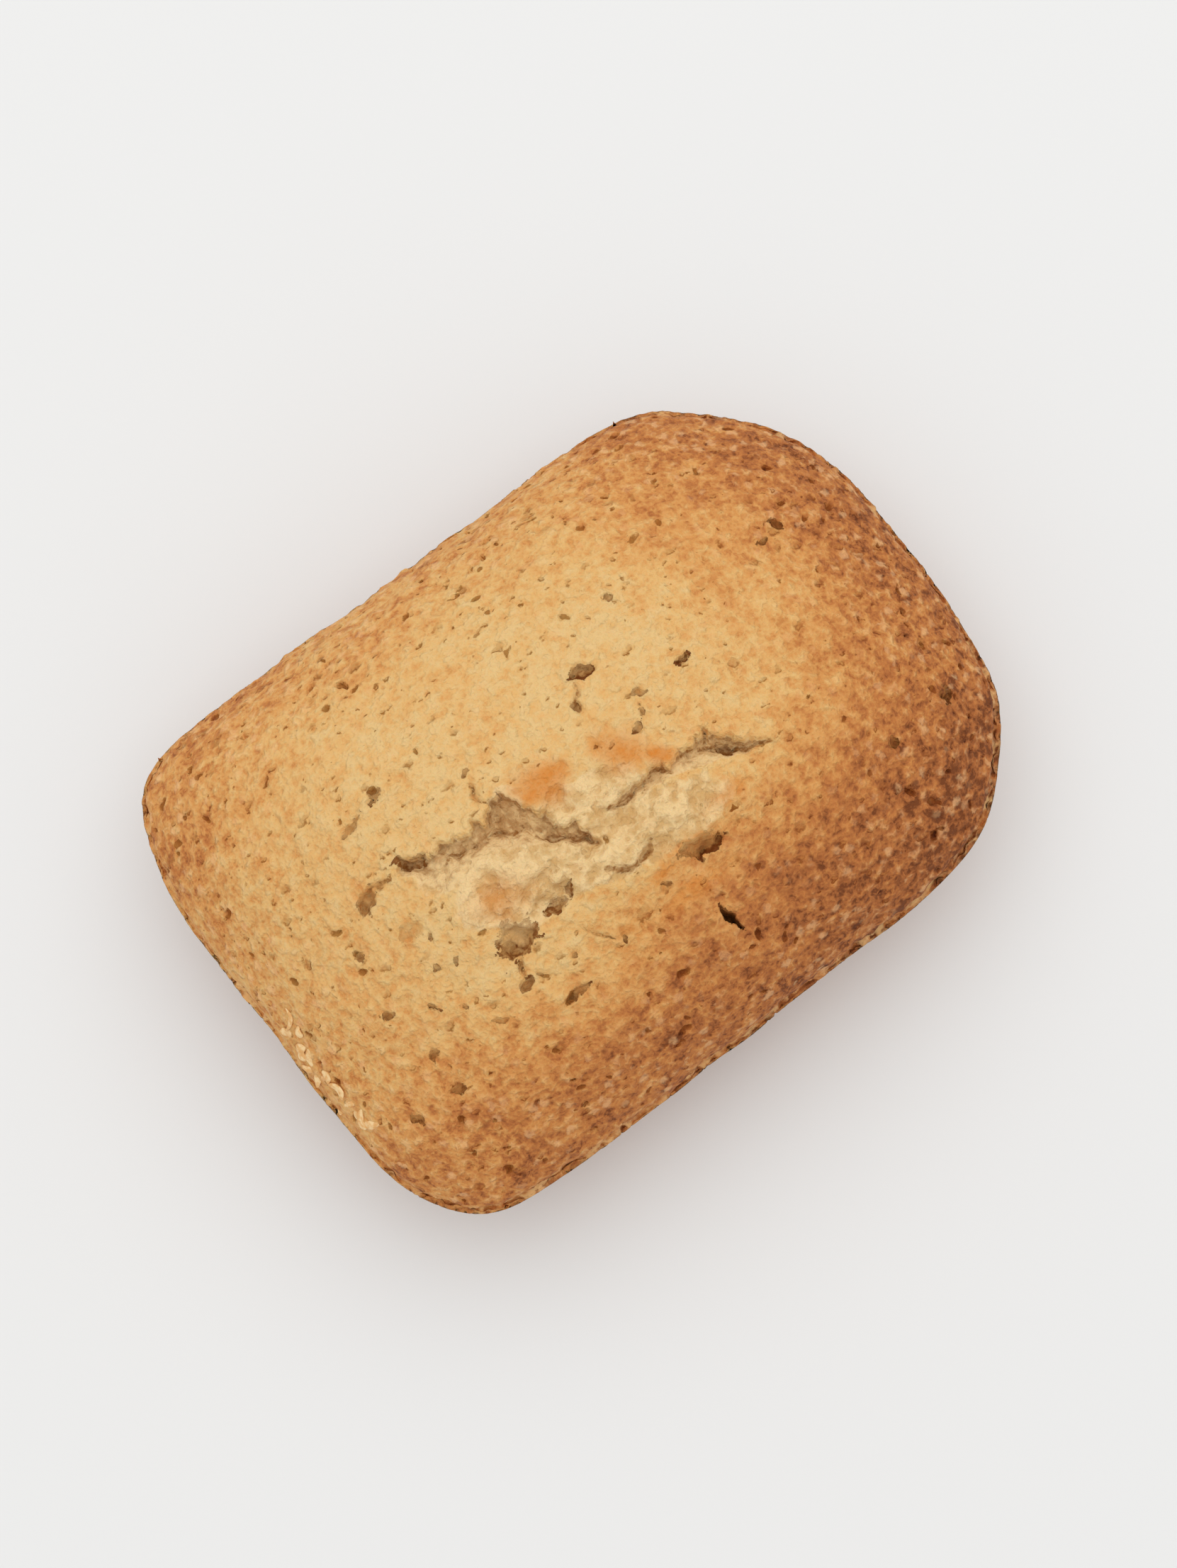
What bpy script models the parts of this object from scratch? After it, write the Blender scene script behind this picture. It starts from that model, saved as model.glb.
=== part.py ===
"""A madeleine cake that rests on its shell side, with the baked bump and its crack on top.

The origin is under the middle of the cake, on the surface that it rests on. +X runs along the cake
towards the broad end, so the narrow hinge end is at -X. All sizes below are in millimetres.
"""

import math

import bpy
import numpy as np

MM = 0.001

# The rim, seen from above: soft-cornered flats round the hub. Each flat has the direction that it
# faces, in degrees from +X, and its distance from the hub.
LENGTH = 65.0
WIDTH = 47.7
RIM_HEIGHT = 12.0
HUB_X = -3.0
RIM_FLATS = (
    (-1.5, 35.3),                             # broad end
    (41.0, 34.6),
    (89.0, 23.6),                             # +Y side
    (143.0, 34.5),
    (181.0, 29.3),                            # hinge end
    (224.0, 33.1),
    (270.0, 23.5),                            # -Y side
    (312.0, 34.0),
)
RIM_SHARPNESS = 18.0                          # higher values leave tighter corners between the flats
RIM_WAVES = ((7, 0.0020, 0.6), (13, 0.0024, 2.1), (22, 0.0018, 4.0))    # count, share, phase

# The bump above the rim, and the crust's thin edge round it. The rim's corners are rounded off
# towards the middle, where the bump's contours are ovals.
BUMP_HEIGHT = 15.4
BUMP_POWER = 2.3
BUMP_ROUNDING = 0.74
OVAL_MIDDLE = 0.85
LIP_WIDTH = 0.9
LIP_DROP = 0.8
SHOULDERS = (                                 # x, y, reach along x and y, rise
    (1.5, 1.0, 8.0, 3.6, 0.55),
    (-10.5, 6.5, 9.0, 5.0, 0.30),
    (0.5, -8.6, 9.0, 3.0, 0.75),
    (-12.0, -4.4, 4.5, 2.6, 0.50),
    (-22.0, -9.0, 7.0, 7.0, -0.35),
    (18.0, 9.0, 9.0, 7.0, -0.30),
    (-3.2, -0.2, 2.6, 1.5, 0.35),
    (3.6, -3.0, 2.4, 1.0, 0.35),
)

# The crack: each run's points lie on its floor, from the hinge end to the broad end. The wall on
# the +Y side is steep under a raised lip, and the floor rises gently on the other side.
CRACKS = (
    {
        "path": ((-16.9, 1.7), (-15.0, 1.2), (-13.3, 0.1), (-10.6, -0.5), (-8.3, -0.9),
                 (-6.4, -2.0), (-5.1, -3.9), (-4.0, -5.1), (-2.9, -6.1)),
        "wall": 1.0, "slope": 3.0, "depth": 2.1, "lip": 0.4,
    },
    {
        "path": ((-1.5, -4.3), (0.4, -4.6), (1.7, -5.1), (4.2, -4.4), (5.8, -5.0), (7.3, -5.2),
                 (8.9, -6.2), (10.3, -7.0), (11.9, -7.6)),
        "wall": 0.8, "slope": 2.2, "depth": 1.5, "lip": 0.4,
    },
)

# The larger holes: x, y, half length, half width, turn from +X in degrees, depth.
PITS = (
    (-19.7, 1.5, 1.5, 0.7, 20.0, 0.9),
    (-15.4, 1.8, 1.3, 0.7, -30.0, 1.5),
    (-12.0, -8.1, 1.6, 1.3, 20.0, 1.4),
    (-13.3, -10.4, 1.0, 0.6, 50.0, 0.9),
    (3.3, -10.9, 1.8, 0.8, -14.0, 1.5),
    (9.1, -6.2, 1.0, 0.5, -35.0, 1.0),
    (3.8, 5.0, 1.2, 0.6, -8.0, 1.1),
    (-14.2, 7.2, 0.8, 0.5, 35.0, 0.8),
    (2.0, -16.1, 0.5, 1.0, 14.0, 2.2),
    (10.6, 1.2, 0.7, 0.6, 0.0, 1.0),
    (-7.4, 2.2, 0.5, 1.3, -8.0, 0.8),
)

# The shell side: a belly with ribs that fan out from beyond the hinge end.
BELLY_POWER = 2.7
BELLY_ROUNDING = 0.62
BELLY_SUNK = 1.0                              # how far the belly reaches below the flat that it rests on
FAN_X = -47.0
RIB_ANGLE = 6.4
RIB_DEPTH = 0.95
RIB_HINGE_GAP = (-30.0, -14.0)                # no rib before the first x, full ribs after the second
RIB_RIM_GAP = (0.80, 0.98)                    # full ribs inside the first share of the radius, none past the second

# The mesh: sectors round the cake, rings on the bump and on the shell, triangles kept.
SECTORS = 360
BUMP_RINGS = 84
SHELL_RINGS = 60
TRIANGLES = 9300

CRUST_COLOUR = (0.60, 0.31, 0.10, 1.0)
CRUST_ROUGHNESS = 0.62


def ease(value, start, end):
    """0 before start, 1 after end, and a smooth rise between them."""
    share = np.clip((value - start) / (end - start), 0.0, 1.0)
    return share * share * (3.0 - 2.0 * share)


def raw_rim_radius(angle):
    """The rim's distance from the hub before it is brought to the cake's length and width."""
    total = np.zeros(np.shape(angle))
    for facing, distance in RIM_FLATS:
        toward = np.maximum(np.cos(angle - math.radians(facing)), 0.0)
        total = total + (toward / distance) ** RIM_SHARPNESS
    waves = sum(share * np.sin(count * angle + phase) for count, share, phase in RIM_WAVES)
    return total ** (-1 / RIM_SHARPNESS) * (1.0 + waves)


def rim_points(angles):
    """x and y of the rim at the given angles round the hub, fitted to the cake's length and width."""
    turn = np.linspace(0.0, 2 * math.pi, 1440, endpoint=False)
    x = raw_rim_radius(turn) * np.cos(turn)
    y = raw_rim_radius(turn) * np.sin(turn)
    stretch_x = LENGTH / np.ptp(x)
    stretch_y = WIDTH / np.ptp(y)
    shift_x = LENGTH / 2 - x.max() * stretch_x - HUB_X
    shift_y = WIDTH / 2 - y.max() * stretch_y
    radius = raw_rim_radius(angles)
    return radius * np.cos(angles) * stretch_x + shift_x, radius * np.sin(angles) * stretch_y + shift_y


def contour_share(angles, share, rim_distance):
    """The share of the radius that a height is read at: rim-shaped at the rim, oval in the middle."""
    oval = 1 / np.hypot(np.cos(angles) / (LENGTH / 2), np.sin(angles) / (WIDTH / 2))
    ovalness = OVAL_MIDDLE * (1.0 - share**2)
    return share * (1.0 + ovalness * (rim_distance / oval - 1.0))


def bump_profile(share):
    """The bump's height over the rim, at a share of the way from the hub to the rim."""
    return BUMP_HEIGHT * np.maximum(1.0 - share**BUMP_POWER, 0.0) ** BUMP_ROUNDING


def belly_profile(share):
    """The shell's depth under the rim, at a share of the way from the hub to the rim."""
    depth = RIM_HEIGHT + BELLY_SUNK
    return depth * np.maximum(1.0 - share**BELLY_POWER, 0.0) ** BELLY_ROUNDING


def nearest_on_path(x, y, path):
    """Signed distance to a path, positive on its +Y side, and how far along it the nearest point is (0 to 1)."""
    points = np.array(path)
    steps = np.hypot(*np.diff(points, axis=0).T)
    total = steps.sum()
    best = np.full(x.shape, np.inf)
    signed = np.zeros(x.shape)
    travelled = np.zeros(x.shape)
    start = 0.0
    for (x0, y0), (x1, y1), length in zip(points[:-1], points[1:], steps):
        along = ((x - x0) * (x1 - x0) + (y - y0) * (y1 - y0)) / length
        clipped = np.clip(along, 0.0, length)
        across = ((x1 - x0) * (y - y0) - (y1 - y0) * (x - x0)) / length
        distance = np.hypot(along - clipped, across)
        closer = distance < best
        best = np.where(closer, distance, best)
        signed = np.where(closer, np.copysign(distance, across), signed)
        travelled = np.where(closer, (start + clipped) / total, travelled)
        start += length
    return signed, travelled


def crack_relief(x, y):
    """Height that the cracks add: their furrows, and the crust's lip above the steep wall."""
    relief = np.zeros(x.shape)
    for crack in CRACKS:
        signed, travelled = nearest_on_path(x, y, crack["path"])
        fullness = np.maximum(np.sin(math.pi * np.clip(travelled, 0.02, 0.98)), 0.0) ** 0.5
        reach = np.where(signed > 0, crack["wall"], crack["slope"]) * (0.45 + 0.55 * fullness)
        hollow = np.maximum(1.0 - (signed / reach) ** 2, 0.0) ** 1.5
        lip = np.exp(-(((signed - 1.6 * crack["wall"]) / crack["wall"]) ** 2))
        relief += crack["lip"] * lip * fullness - crack["depth"] * hollow * fullness
    return relief


def pit_relief(x, y):
    """Height that the larger holes take away."""
    relief = np.zeros(x.shape)
    for pit_x, pit_y, half_length, half_width, turn, depth in PITS:
        cosine = math.cos(math.radians(turn))
        sine = math.sin(math.radians(turn))
        along = ((x - pit_x) * cosine + (y - pit_y) * sine) / half_length
        across = ((y - pit_y) * cosine - (x - pit_x) * sine) / half_width
        relief -= depth * np.maximum(1.0 - (along**2 + across**2) ** 1.5, 0.0)
    return relief


def shoulder_relief(x, y):
    """The broad rises and hollows that keep the bump from being a plain dome."""
    relief = np.zeros(x.shape)
    for rise_x, rise_y, reach_x, reach_y, rise in SHOULDERS:
        relief += rise * np.exp(-(((x - rise_x) / reach_x) ** 2) - ((y - rise_y) / reach_y) ** 2)
    return relief


def bump_heights(x, y, share, inset):
    """z of the bump side. inset is the distance from the rim."""
    fade = 1.0 - ease(share, 0.80, 0.97)
    height = bump_profile(share) + fade * shoulder_relief(x, y) + crack_relief(x, y) + pit_relief(x, y)
    lip = LIP_DROP * (1.0 - ease(inset, 0.0, LIP_WIDTH))
    return RIM_HEIGHT + np.maximum(height - lip, 0.0)


def shell_heights(x, y, share):
    """z of the shell side, with its ribs."""
    fan = np.degrees(np.arctan2(y, x - FAN_X))
    rib = np.abs(np.cos(math.pi * fan / RIB_ANGLE))
    past_hinge = ease(x, *RIB_HINGE_GAP)
    inside_rim = 1.0 - ease(share, *RIB_RIM_GAP)
    groove = RIB_DEPTH * (1.0 - rib) * past_hinge * inside_rim
    return RIM_HEIGHT - belly_profile(share) + groove


def ring_shares(count):
    """Shares of the radius for each ring, closer together near the rim."""
    even = np.arange(1, count + 1) / count
    return 1.0 - (1.0 - even) ** 1.25


def cake_surface():
    """Vertices and faces of the fine closed surface: the bump's rings, then the shell's rings inside the rim."""
    angles = np.linspace(0.0, 2 * math.pi, SECTORS, endpoint=False)
    rim_x, rim_y = rim_points(angles)
    rim_distance = np.hypot(rim_x, rim_y)
    bump_shares = ring_shares(BUMP_RINGS)
    shell_shares = ring_shares(SHELL_RINGS)[:-1]

    rows = []
    for share in bump_shares:
        x = HUB_X + share * rim_x
        y = share * rim_y
        z = bump_heights(x, y, contour_share(angles, share, rim_distance), (1.0 - share) * rim_distance)
        rows.append(np.stack([x, y, z], axis=1))
    for share in shell_shares[::-1]:
        x = HUB_X + share * rim_x
        y = share * rim_y
        z = shell_heights(x, y, contour_share(angles, share, rim_distance))
        rows.append(np.stack([x, y, z], axis=1))
    vertices = np.concatenate(rows)

    hub_x = np.array([HUB_X])
    hub_y = np.zeros(1)
    middle = np.zeros(1)
    top_z = bump_heights(hub_x, hub_y, middle, np.array([rim_distance.min()]))[0]
    under_z = shell_heights(hub_x, hub_y, middle)[0]
    top = len(vertices)
    under = top + 1
    vertices = np.concatenate([vertices, [[HUB_X, 0.0, top_z], [HUB_X, 0.0, under_z]]])

    faces = []
    last_row = (len(rows) - 1) * SECTORS
    for sector in range(SECTORS):
        following = (sector + 1) % SECTORS
        faces.append((top, sector, following))
        for row in range(len(rows) - 1):
            upper = row * SECTORS
            lower = upper + SECTORS
            faces.append((upper + sector, lower + sector, lower + following, upper + following))
        faces.append((under, last_row + following, last_row + sector))
    return vertices * MM, faces


def crust_material():
    """The golden-brown crust."""
    material = bpy.data.materials.new("Golden crust")
    material.use_nodes = True
    shader = material.node_tree.nodes["Principled BSDF"]
    shader.inputs["Base Color"].default_value = CRUST_COLOUR
    shader.inputs["Roughness"].default_value = CRUST_ROUGHNESS
    shader.inputs["Metallic"].default_value = 0.0
    material.diffuse_color = CRUST_COLOUR
    return material


def resting_cutter():
    """A block whose top face is the surface that the cake rests on."""
    depth = 2 * BELLY_SUNK * MM
    bpy.ops.mesh.primitive_cube_add(size=1.0, location=(0.0, 0.0, -depth / 2))
    cutter = bpy.context.object
    cutter.name = "resting_cutter"
    cutter.scale = (LENGTH * MM, WIDTH * MM, depth)
    cutter.hide_render = True
    cutter.display_type = "WIRE"
    return cutter


def add_cake():
    """The cake: the fine surface thinned to its faces, then cut flat where it rests."""
    vertices, faces = cake_surface()
    mesh = bpy.data.meshes.new("madeleine")
    mesh.from_pydata(vertices.tolist(), [], faces)
    mesh.materials.append(crust_material())
    cake = bpy.data.objects.new("madeleine", mesh)
    bpy.context.scene.collection.objects.link(cake)

    fine_triangles = sum(len(face) - 2 for face in faces)
    thin = cake.modifiers.new("Thin", "DECIMATE")
    thin.decimate_type = "COLLAPSE"
    thin.ratio = TRIANGLES / fine_triangles
    flat = cake.modifiers.new("Resting flat", "BOOLEAN")
    flat.operation = "DIFFERENCE"
    flat.object = resting_cutter()
    mesh.shade_smooth()
    return cake


def clear_scene():
    """Removes whatever the file held before."""
    for leftover in list(bpy.data.objects):
        bpy.data.objects.remove(leftover, do_unlink=True)


clear_scene()
add_cake()
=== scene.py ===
import math

import bpy
import numpy as np
from mathutils import Matrix, Vector, kdtree


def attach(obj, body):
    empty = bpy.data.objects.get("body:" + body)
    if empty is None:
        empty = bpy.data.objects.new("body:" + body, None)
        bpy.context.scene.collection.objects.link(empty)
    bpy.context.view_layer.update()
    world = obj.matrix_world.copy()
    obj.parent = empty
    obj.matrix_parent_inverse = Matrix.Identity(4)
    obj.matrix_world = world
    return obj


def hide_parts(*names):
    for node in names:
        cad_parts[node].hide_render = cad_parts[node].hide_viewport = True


# A madeleine lying on its shell side. Lengths in the dictionaries are millimetres and turns are degrees.

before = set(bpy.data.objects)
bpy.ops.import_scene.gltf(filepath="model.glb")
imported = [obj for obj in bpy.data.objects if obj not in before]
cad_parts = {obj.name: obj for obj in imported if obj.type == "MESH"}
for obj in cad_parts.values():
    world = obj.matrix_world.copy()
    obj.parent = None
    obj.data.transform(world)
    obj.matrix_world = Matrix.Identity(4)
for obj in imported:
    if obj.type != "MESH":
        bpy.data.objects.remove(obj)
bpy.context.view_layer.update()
mm = 0.001


# small helpers

def ease(value, start, end):
    share = np.clip((value - start) / (end - start), 0.0, 1.0)
    return share * share * (3.0 - 2.0 * share)


def noise(points, cell, seed, octaves=1):
    # smooth lattice noise between -1 and 1, each octave half as large and half as strong
    total = np.zeros(len(points))
    strength = 1.0
    whole = 0.0
    for octave in range(octaves):
        table = np.random.default_rng(seed + octave).random((32, 32, 32)) * 2.0 - 1.0
        place = points / (cell * 0.5**octave) + 7.3 * octave + 100.0
        corner = np.floor(place).astype(int)
        part = place - corner
        part = part * part * (3.0 - 2.0 * part)
        blend = 0.0
        for dx in (0, 1):
            for dy in (0, 1):
                for dz in (0, 1):
                    weight = 1.0
                    for axis, step in enumerate((dx, dy, dz)):
                        weight = weight * (part[:, axis] if step else 1.0 - part[:, axis])
                    blend = blend + weight * table[(corner[:, 0] + dx) % 32, (corner[:, 1] + dy) % 32,
                                                   (corner[:, 2] + dz) % 32]
        total += strength * blend
        whole += strength
        strength *= 0.5
    return total / whole


def layered(points, layers):
    # several noises added up, each with its strength, cell, seed and octaves
    return sum(strength * noise(points, cell, seed, octaves) for strength, cell, seed, octaves in layers)


def flatPoints(x, y):
    return np.stack([x, y, np.zeros(x.shape)], axis=1)


def pathDistance(x, y, path):
    # distance to a path, positive on its left, and how far along it the nearest point is, as a share and in
    # millimetres
    points = np.array(path)
    steps = np.hypot(*np.diff(points, axis=0).T)
    best = np.full(x.shape, np.inf)
    sideways = np.zeros(x.shape)
    walked = np.zeros(x.shape)
    start = 0.0
    for (x0, y0), (x1, y1), length in zip(points[:-1], points[1:], steps):
        along = ((x - x0) * (x1 - x0) + (y - y0) * (y1 - y0)) / length
        across = ((x1 - x0) * (y - y0) - (y1 - y0) * (x - x0)) / length
        clipped = np.clip(along, 0.0, length)
        distance = np.hypot(along - clipped, across)
        # at a corner two steps are equally near, and the one passed more squarely tells the side
        closer = (distance < best - 1e-6) | ((distance < best + 1e-6) & (np.abs(across) > np.abs(sideways)))
        best = np.where(closer, distance, best)
        sideways = np.where(closer, across, sideways)
        walked = np.where(closer, start + clipped, walked)
        start += length
    return np.copysign(best, sideways), walked / steps.sum(), walked


def meshPoints(mesh):
    flat = np.empty(len(mesh.vertices) * 3, np.float32)
    mesh.vertices.foreach_get("co", flat)
    return flat.reshape(-1, 3).astype(float) / mm


def meshNormals(mesh):
    flat = np.empty(len(mesh.vertices) * 3, np.float32)
    mesh.vertex_normals.foreach_get("vector", flat)
    return flat.reshape(-1, 3).astype(float)


def placePoints(mesh, points):
    mesh.vertices.foreach_set("co", (points * mm).astype(np.float32).ravel())
    mesh.update()


def applyModifier(piece, kind, **settings):
    modifier = piece.modifiers.new(kind.title(), kind)
    for key, value in settings.items():
        setattr(modifier, key, value)
    bpy.context.view_layer.objects.active = piece
    bpy.ops.object.modifier_apply(modifier=modifier.name)


def paint(mesh, name, values):
    layer = mesh.attributes.new(name, "FLOAT", "POINT")
    layer.data.foreach_set("value", np.clip(values, 0.0, 1.0).astype(np.float32))


# shader maths

class Value:
    # a node's output with plain maths on it

    def __init__(self, tree, socket):
        self.tree = tree
        self.socket = socket

    def maths(self, operation, first, second=0.0, clamp=False):
        node = self.tree.nodes.new("ShaderNodeMath")
        node.operation = operation
        node.use_clamp = clamp
        feed(self.tree, node.inputs[0], first)
        feed(self.tree, node.inputs[1], second)
        return Value(self.tree, node.outputs[0])

    def __add__(self, other):
        return self.maths("ADD", self, other)

    def __radd__(self, other):
        return self.maths("ADD", other, self)

    def __sub__(self, other):
        return self.maths("SUBTRACT", self, other)

    def __rsub__(self, other):
        return self.maths("SUBTRACT", other, self)

    def __mul__(self, other):
        return self.maths("MULTIPLY", self, other)

    def __rmul__(self, other):
        return self.maths("MULTIPLY", other, self)

    def clamped(self):
        return self.maths("ADD", self, 0.0, clamp=True)


def feed(tree, socket, item):
    if isinstance(item, Value):
        tree.links.new(item.socket, socket)
    else:
        socket.default_value = item


class Finish:
    # a material and the nodes that make it

    def __init__(self, name):
        self.material = bpy.data.materials.new(name)
        self.material.use_nodes = True
        self.tree = self.material.node_tree
        self.shader = self.tree.nodes["Principled BSDF"]

    def node(self, kind, settings=None, sockets=None, output=0):
        made = self.tree.nodes.new("ShaderNode" + kind)
        for key, value in (settings or {}).items():
            if key == "stops":
                ramp = made.color_ramp
                while len(ramp.elements) > 1:
                    ramp.elements.remove(ramp.elements[-1])
                ramp.elements[0].position = value[0][0]
                ramp.elements[0].color = value[0][1]
                for position, colour in value[1:]:
                    ramp.elements.new(position).color = colour
            else:
                setattr(made, key, value)
        for key, item in (sockets or {}).items():
            feed(self.tree, made.inputs[key], item)
        return Value(self.tree, made.outputs[output])

    def blendColours(self, share, first, second, mode="MIX"):
        settings = {"data_type": "RGBA", "blend_type": mode}
        return self.node("Mix", settings, {0: share, 6: first, 7: second}, output=2)

    def band(self, value, low, high):
        settings = {"interpolation_type": "SMOOTHSTEP"}
        return self.node("MapRange", settings, {"Value": value, "From Min": low, "From Max": high})

    def attribute(self, name):
        return self.node("Attribute", {"attribute_name": name}, output=2)

    def noise(self, place, scale, detail, distortion=0.0):
        sockets = {"Vector": place, "Scale": scale, "Detail": detail, "Roughness": 0.6}
        return self.node("TexNoise", None, {**sockets, "Distortion": distortion})

    def cells(self, place, scale):
        # distance from the middle of the nearest cell, and that cell's own draw between 0 and 1
        sockets = {"Vector": place, "Scale": scale}
        distance = self.node("TexVoronoi", None, sockets)
        drawn = Value(self.tree, distance.socket.node.outputs["Color"])
        return distance, self.node("SeparateColor", None, {"Color": drawn})

    def maximum(self, first, second):
        return self.node("Math", {"operation": "MAXIMUM"}, {0: first, 1: second})

    def set(self, **constants):
        for key, value in constants.items():
            self.shader.inputs[key.replace("_", " ")].default_value = value

    def wire(self, socket, item):
        feed(self.tree, self.shader.inputs[socket], item)


def tone(red, green, blue):
    # a display colour as the linear colour that a shader takes
    def linear(level):
        level = level / 255
        return level / 12.92 if level <= 0.04045 else ((level + 0.055) / 1.055) ** 2.4
    return (linear(red), linear(green), linear(blue), 1.0)


# the cake's form

cakeForm = {
    "length": 65.0,
    "width": 47.7,
    "rimHeight": 12.0,
    "hubX": -3.0,
    # the way each flat of the rim faces and how far it is from the hub
    "rimFlats": ((-1.5, 35.3), (41.0, 34.6), (89.0, 23.6), (143.0, 34.5), (181.0, 29.3), (224.0, 33.1),
                 (270.0, 23.5), (312.0, 34.0)),
    "rimSharpness": 18.0,                        # higher leaves tighter corners between the flats
    "rimWaves": ((7, 0.0020, 0.6), (13, 0.0024, 2.1), (22, 0.0018, 4.0)),    # count, share, phase
    "bumpHeight": 15.2,
    "bumpPower": 2.3,
    "bumpRounding": 0.74,
    "ovalMiddle": 0.85,
    "crest": 28.1,                               # no point is higher, and the top is rounded off below it
    "crestSoftness": 0.6,
    "lipWidth": 0.9,
    "lipDrop": 0.8,
    "bellyPower": 2.7,
    "bellyRounding": 0.62,
    "bellySunk": 1.0,
    "fanX": -47.0,
    "ribAngle": 6.4,
    "ribDepth": 0.95,
    "ribHingeGap": (-30.0, -14.0),
    "ribRimGap": (0.80, 0.98),
    "gridAlong": 430,
    "gridAcross": 320,
    "gridCrowding": 1.18,                        # above 1 draws the rings of the grid towards the rim
    "triangles": 196000,
    "fineZone": (-5.0, -3.5, 18.5, 10.5),        # centre and reach of the oval that keeps its fine mesh
    # relief as noises: strength, cell, seed and octaves
    "swell": ((0.26, 8.0, 3, 1), (0.12, 3.0, 5, 2)),
    "grain": ((0.13, 0.9, 23, 2), (0.13, 1.9, 29, 2)),
    "crumbLumps": ((0.85, 1.9, 31, 2), (0.42, 0.70, 33, 2)),
    "shellSwell": ((0.05, 3.0, 7, 2),),
    "shellGrain": 0.5,
    "rimRelief": ((0.30, 1.3, 37, 2), (0.26, 0.5, 39, 1)),
    "rimDrop": 0.32,
    "rimReach": 0.8,
    # rounded rises and dips of the bump: centre, reach along x and y, rise
    "shoulders": (
        (1.5, 1.0, 8.0, 3.6, 0.55),
        (-10.5, 6.5, 9.0, 5.0, 0.30),
        (0.5, -8.6, 9.0, 3.0, 0.75),
        (-12.0, -4.4, 4.5, 2.6, 0.50),
        (-22.0, -9.0, 7.0, 7.0, -0.35),
        (18.0, 9.0, 9.0, 7.0, -0.30),
        (-3.2, -0.2, 2.6, 1.5, 0.35),
        (3.6, -3.0, 2.4, 1.0, 0.35),
    ),
}

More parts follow.
